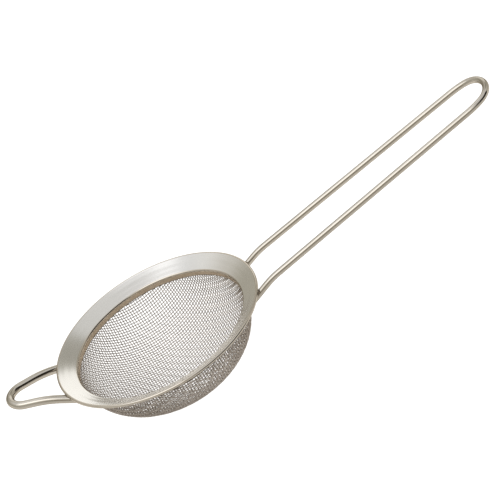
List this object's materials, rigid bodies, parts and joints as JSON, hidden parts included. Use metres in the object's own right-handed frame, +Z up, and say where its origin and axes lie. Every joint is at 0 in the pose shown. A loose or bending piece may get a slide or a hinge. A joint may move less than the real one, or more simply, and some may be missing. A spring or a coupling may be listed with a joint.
{
  "type": "tea strainer",
  "caption": "Small tea strainer with a woven wire bowl, a sloping pressed steel rim, a long looped wire handle and a short looped wire rest opposite it.",
  "frame": {"origin": "centre of the rim's top plane", "axes": "+X from the bowl towards the end of the handle, +Z up out of the bowl's mouth, +Y completes the right-handed frame; rim level"},
  "size_m": [0.2023, 0.08, 0.0517],
  "materials": {
    "rim_sheet": "satin polished, fine turning marks round the rim, edge rolled under",
    "cloth_wire": "bright drawn wire, two-over two-under twill weave",
    "bent_wire": "polished stainless wire",
    "weld_metal": "dull spot weld"
  },
  "bodies": {
    "root": {"rim_ring": "rim_sheet", "mesh_basket": "cloth_wire", "handle_wire": "bent_wire", "rest_wire": "bent_wire", "handle_weld_left": "weld_metal", "handle_weld_right": "weld_metal", "rest_weld_left": "weld_metal", "rest_weld_right": "weld_metal"}
  },
  "joints": []
}
